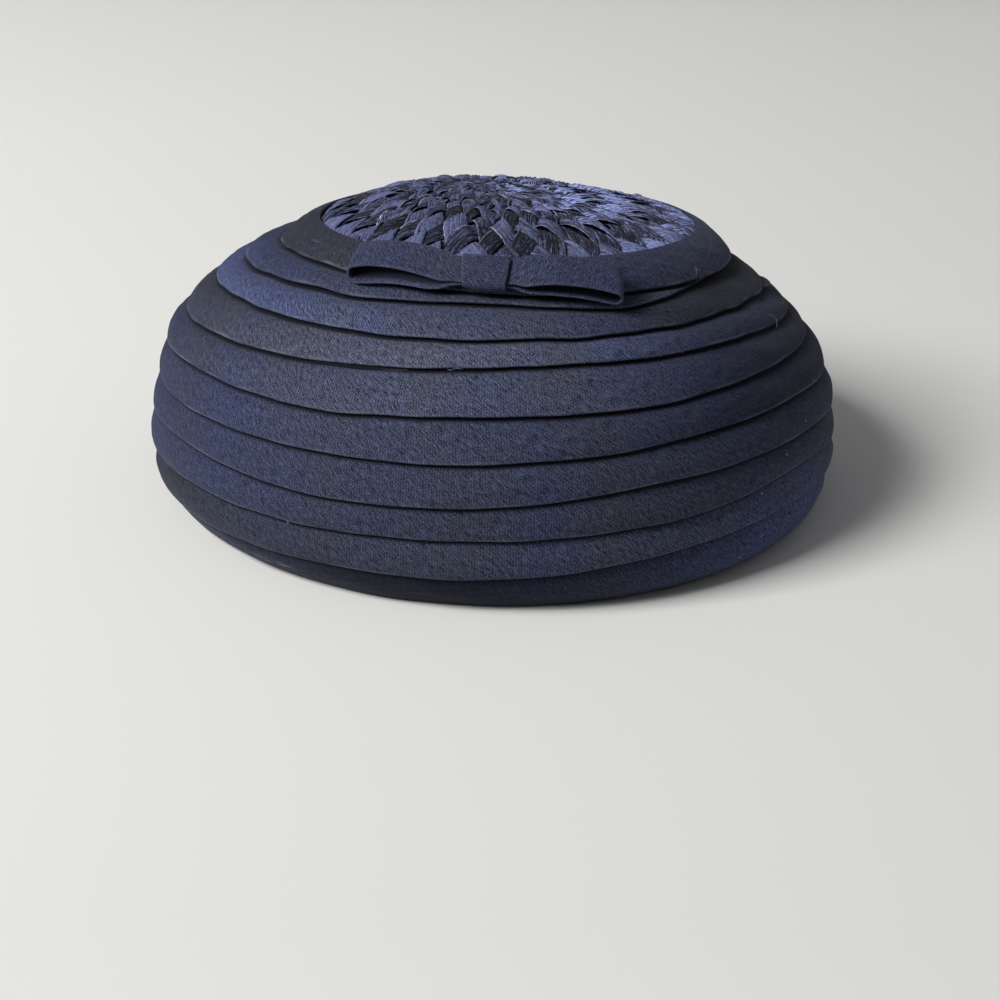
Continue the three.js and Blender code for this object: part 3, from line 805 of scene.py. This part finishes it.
def makeCrown():
    straw = strawMaterial("crown_straw", strawLook)
    for name, hand in (("crownStripsRight", 1), ("crownStripsLeft", -1)):
        outer = weaveStrips(crown["strips"], *crown["outerShares"], outerDive, hand, 300 + hand)
        loftPiece(name, *outer, straw, False)
        inner = weaveStrips(crown["innerStrips"], *crown["innerShares"], innerDive, hand, 400 + hand)
        loftPiece(name.replace("Strips", "MiddleStrips"), *inner, straw, False)
    makeKnot(straw)
    ground = makeCrownGround(clothMaterial("crown_ground", clothLook, 0.0))
    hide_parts("woven_crown")


makeCrown()
print("crown woven")


# the bow, in mm; a share counts along the loop from the knot, 0, to its end, 1
bow = {
    "thickness": 0.9,
    "width": 13.6,
    "gatheredWidth": 10.4,
    "radius": 77.0,  # turns a distance along the band into an angle
    "middle": -7.0,
    "drop": 3.0,
    "leftReach": 45.5,
    "leftArch": 2.1,
    "leftDroop": 1.4,
    "rightReach": 42.5,
    "rightArch": 0.0,
    "rightDroop": 5.6,
    "depth": 3.4,
    "slant": 0.33,
    "leftSlip": 3.4,
    "rightSlip": 1.0,
    "leftTilt": 1.2,
    "rightTilt": 0.4,
    "leftOpening": (0.08, 1),  # shares between which the front layer lifts off the back one
    "rightOpening": (0.0, 0.55),
    "leftEdge": (0.8, 3),  # how far up a loop's inside turns from lit to painted shade
    "rightEdge": (0.2, 1.1),
    "insideShade": 0.88,
    "loopTone": 0.62,
    "knotLook": (0.55, 0.98),  # how blue, and how light
    "knotWidth": 15.0,
    "knotGrip": 4.0,
    "heldShare": 0.14,  # the share that the knot holds gathered
    "flareShare": 0.14,  # the share of the rest over which the loop widens
    "edgeRows": 5,
    "faceRows": 13,
}
bowLift = 3 * bands["gap"] + bow["thickness"] + 0.1


# a place on the top band: along round it, across up its slope from its middle, lift out from its face
def bowPoint(along, across, lift):
    along, across, lift = np.broadcast_arrays(along, across, lift)
    angle = along / bow["radius"]
    middle = (foldLength("top_band", angle) + topLength) / 2
    outward = bodyOutward(middle, angle)
    ring = np.stack([np.cos(angle), np.sin(angle), 0 * angle], -1)
    upSlope = np.cross(outward, ring)
    point = bodySkin(middle, angle) + upSlope * across[..., None]
    return point + outward * (bands["fullness"] + bowLift + lift)[..., None]


# the ribbon's section, round at both edges: how far across, and how far from its inner face to its outer
def ribbonSection(half):
    r = bow["thickness"] / 2
    flat = np.linspace(-(half - r), half - r, bow["faceRows"])
    turn = np.linspace(0, np.pi, bow["edgeRows"] + 2)[1:-1]
    across = np.concatenate([flat, half - r + r * np.sin(turn), flat[::-1], -(half - r) - r * np.sin(turn)])
    thick = np.concatenate([0 * flat + 2 * r, r + r * np.cos(turn), 0 * flat, r - r * np.cos(turn)])
    return np.append(across, across[0])[None, :], np.append(thick, thick[0])[None, :]


# a ribbon out of its rows of points. It is mapped along its middle line and its edges are pale.
def finishRibbon(name, node, points, section, width, looks, material, closed, mapStart=0):
    across, thick = section
    tone, shade = looks
    steps = np.linalg.norm(np.diff(points[:, bow["faceRows"] // 2], axis=0), axis=-1)
    path = np.concatenate([[0], np.cumsum(steps)])[:, None]
    outer = thick > bow["thickness"] / 2
    clothMap = np.stack(np.broadcast_arrays(path + mapStart, across - 20 * outer), -1)
    edge = 0.16 * softStep(np.abs(across), width / 2 - 0.7, width / 2 - 0.1) + 0 * path
    numbers = {"tone": tone, "edge": edge[None], "shade": (shade + 0 * edge)[None]}
    piece = loftPiece(name, points[None], clothMap[None], numbers, material, closed)
    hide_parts(node)


# a loop: along the band from the knot, a half turn at its end, and back in front. It is gathered narrow in
# the knot. The back layer slips down the slope, the front stands off it more towards the end and along its
# lower edge, and the whole loop may arch up on its way or droop to its end. Its end is cut aslant.
def makeLoop(hand, material):
    side = 1 if hand == "right" else -1
    reach, archUp, droop, slipBy, tilt = (
        bow[hand + part] for part in ("Reach", "Arch", "Droop", "Slip", "Tilt"))
    start = bow["middle"] + side * (bow["knotWidth"] / 2 - bow["knotGrip"])
    turnRadius = bow["depth"] / 2
    turnMiddle = bow["middle"] + side * (reach - turnRadius - bow["thickness"])
    run = np.linspace(0, 1, 30, endpoint=False)
    turn = np.linspace(0, np.pi, 17)
    frontRun = run[::-1]
    t = np.concatenate([0.45 * run, 0.45 + 0.1 * turn / np.pi, 1 - 0.45 * frontRun])[:, None]
    along = np.concatenate([
        start + (turnMiddle - start) * run, turnMiddle + side * turnRadius * np.sin(turn),
        start + (turnMiddle - start) * frontRun])[:, None]
    opening = bands["gap"] + (bow["depth"] - bands["gap"]) * softStep(frontRun, *bow[hand + "Opening"])
    lift = np.concatenate([0 * run, turnRadius * (1 - np.cos(turn)), opening])[:, None] + bow["thickness"]
    outAlong = np.concatenate([0 * run, np.sin(turn), 0 * run])[:, None]
    outLift = np.concatenate([0 * run - 1, -np.cos(turn), 0 * run + 1])[:, None]
    away = np.clip((along - start) / (turnMiddle - start), 0, None)
    slip = slipBy * softStep(t, 0.02, 0.18) * (1 - softStep(t, 0.4, 0.62))
    free = np.clip((away - bow["heldShare"]) / (1 - bow["heldShare"]), 0, 1)
    middle = archUp * np.sin(np.pi * free) - bow["drop"] - slip - droop * away**3
    half = bow["width"] / 2
    across, thick = ribbonSection(half)
    narrow = bow["gatheredWidth"] / bow["width"]
    spread = across * (narrow + (1 - narrow) * softStep(free, 0, bow["flareShare"]))
    front = np.clip(outLift, 0, 1)
    arch = front * free * (0.35 * (1 - (across / half) ** 2) - tilt * across / half)
    slant = side * bow["slant"] * free**2 * spread
    points = bowPoint(along + side * thick * outAlong + slant, middle + spread, lift + thick * outLift + arch)
    # painted shade on the loop's inside, where the front layer shadows the back one
    inside = (thick < 0.05) * softStep(across + half, *bow[hand + "Edge"])
    looks = (bow["loopTone"], 1.0 - bow["insideShade"] * inside)
    finishRibbon("bow" + hand.capitalize() + "Loop", "bow_" + hand + "_loop", points,
                 (across, thick), bow["width"], looks, material, False)


# the knot: a short ribbon wrapped once round the loops: a flat behind, a half turn at the top, a flat in
# front and a half turn below, a little narrower at the bottom
def makeBowKnot(material):
    depth = 2 * bow["thickness"] + 4.5 * bands["gap"]
    innerHalf = bow["gatheredWidth"] / 2 + 3 * bands["gap"]
    r = depth / 2
    straight = np.linspace(-1, 1, 14, endpoint=False)
    turn = np.linspace(0, np.pi, 14, endpoint=False)
    flat = innerHalf - r
    # up the front, over the top, down behind, round below
    upPlace = np.concatenate([flat * straight, flat + 0 * turn, -flat * straight, -flat + 0 * turn])
    facing = np.concatenate([0 * straight, turn, np.pi + 0 * straight, np.pi + turn])
    upPlace, facing = (np.append(row, row[0] + end)[:, None] for row, end in ((upPlace, 0), (facing, 0)))
    half = bow["knotWidth"] / 2
    along, thick = ribbonSection(half)
    height = upPlace + (r + thick) * np.sin(facing)
    lift = r - bands["gap"] + (r + thick) * np.cos(facing) + 0 * along
    lift = lift + 0.25 * (1 - (along / half) ** 2) * np.cos(facing)
    taper = 1 + 0.11 * height / innerHalf
    height = height * (1 - 0.16 * softStep(-along / half, 0.2, 1) * (height < 0))
    points = bowPoint(bow["middle"] + along * taper, height - bow["drop"], lift)
    finishRibbon("bowKnotCloth", "bow_knot", points, (along, thick), bow["knotWidth"],
                 bow["knotLook"], material, True, mapStart=3)


def makeBow():
    ribbon = clothMaterial("bow_cloth", clothLook, 52.0, 0.2)
    for hand in ("left", "right"):
        makeLoop(hand, ribbon)
    makeBowKnot(clothMaterial("bow_knot_cloth", clothLook, 38.0, 0.31))


makeBow()
print("bow tied")


# the floor and the light, in metres
studio = {
    "floorColour": (0.722, 0.718, 0.703),
    "floorPaintedLight": (0.92, 1.34),  # painted light: how light the floor is painted in front of the hat and far behind it, where the lamp is further
    "floorSides": 96,  # the floor is a round dish whose rim curves up into a wall
    "floorRings": 15,
    "curveSteps": 16,
    "floorRadius": 4.2,
    "floorCurve": 1.4,
    "wallHeight": 3.6,
    "skyColour": (0.93, 0.95, 1.0, 1),
    "skyStrength": 0.2,
    "lampPlace": (-1.65, -1.05, 1.6),
    "lampTarget": (0, 0, 0.05),
    "lampSize": 1.15,
    "lampWatts": 86,
    "lampColour": (1.0, 0.995, 0.98),
}


# the dish is level out to floorRadius, then a quarter circle up to the wall, turned about the middle
def makeStudio():
    floor = bpy.data.objects.new("floor", bpy.data.meshes.new("floor"))
    around, flat, curve = studio["floorSides"], studio["floorRadius"], studio["floorCurve"]
    level = np.linspace(0, flat, studio["floorRings"])[1:]
    rise = np.linspace(0, np.pi / 2, studio["curveSteps"])[1:]
    radius = np.concatenate([level, flat + curve * np.sin(rise), [flat + curve]])[:, None]
    height = np.concatenate([0 * level, curve * (1 - np.cos(rise)), [studio["wallHeight"]]])[:, None]
    angle = np.linspace(0, fullTurn, around, endpoint=False)[None, :]
    rings = np.stack([radius * np.cos(angle), radius * np.sin(angle), height + 0 * angle], -1).reshape(-1, 3)
    ring, side = np.meshgrid(np.arange(len(radius) - 1), np.arange(around), indexing="ij")
    corner = 1 + ring * around + side
    nextCorner = 1 + ring * around + (side + 1) % around
    quads = np.stack([corner, corner + around, nextCorner + around, nextCorner], -1).reshape(-1, 4)
    fan = np.stack([0 * side[0], 1 + side[0], 1 + (side[0] + 1) % around], -1)
    faces = fan.tolist() + quads.tolist()
    floor.data.from_pydata([(0, 0, 0)] + rings.tolist(), [], faces)
    floor.data.polygons.foreach_set("use_smooth", [True] * len(faces))
    material, tree = newMaterial("pale_floor")
    place = addNode(tree, "ShaderNodeTexCoord").outputs["Object"]
    cloud = stretchedNoise(tree, place, 900, 900, 2.0)
    apart = addNode(tree, "ShaderNodeSeparateXYZ", {0: place})
    # painted light: the floor is painted lighter far behind, where the lamp lights it less
    further = remap(tree, apart.outputs["Y"], -0.3, 1.0, *studio["floorPaintedLight"])
    lightness = sums(tree, "MULTIPLY", remap(tree, cloud, 0.0, 1.0, 0.97, 1.02), further)
    shader = addNode(tree, "ShaderNodeBsdfPrincipled", {
        "Base Color": scaleColour(tree, studio["floorColour"], lightness),
        "Roughness": 0.85, "Specular IOR Level": 0.2})
    addNode(tree, "ShaderNodeOutputMaterial", {"Surface": shader.outputs[0]})
    floor.data.materials.append(material)
    scene.collection.objects.link(floor)
    world = bpy.data.worlds.new("studio")
    world.use_nodes = True
    sky = world.node_tree.nodes["Background"]
    sky.inputs["Color"].default_value = studio["skyColour"]
    sky.inputs["Strength"].default_value = studio["skyStrength"]
    scene.world = world
    data = bpy.data.lights.new("keyLight", "AREA")
    data.shape = "RECTANGLE"
    data.size = data.size_y = studio["lampSize"]
    data.energy, data.color = studio["lampWatts"], studio["lampColour"]
    lamp = bpy.data.objects.new("keyLight", data)
    back = np.array(studio["lampPlace"]) - np.array(studio["lampTarget"])
    back = back / np.linalg.norm(back)
    right = np.cross([0, 0, 1], back)
    right = right / np.linalg.norm(right)
    lamp.matrix_world = placed(right, np.cross(back, right), back, studio["lampPlace"])
    scene.collection.objects.link(lamp)
    scene.view_settings.view_transform = "Standard"


makeStudio()
print("studio lit")

bpy.context.view_layer.update()
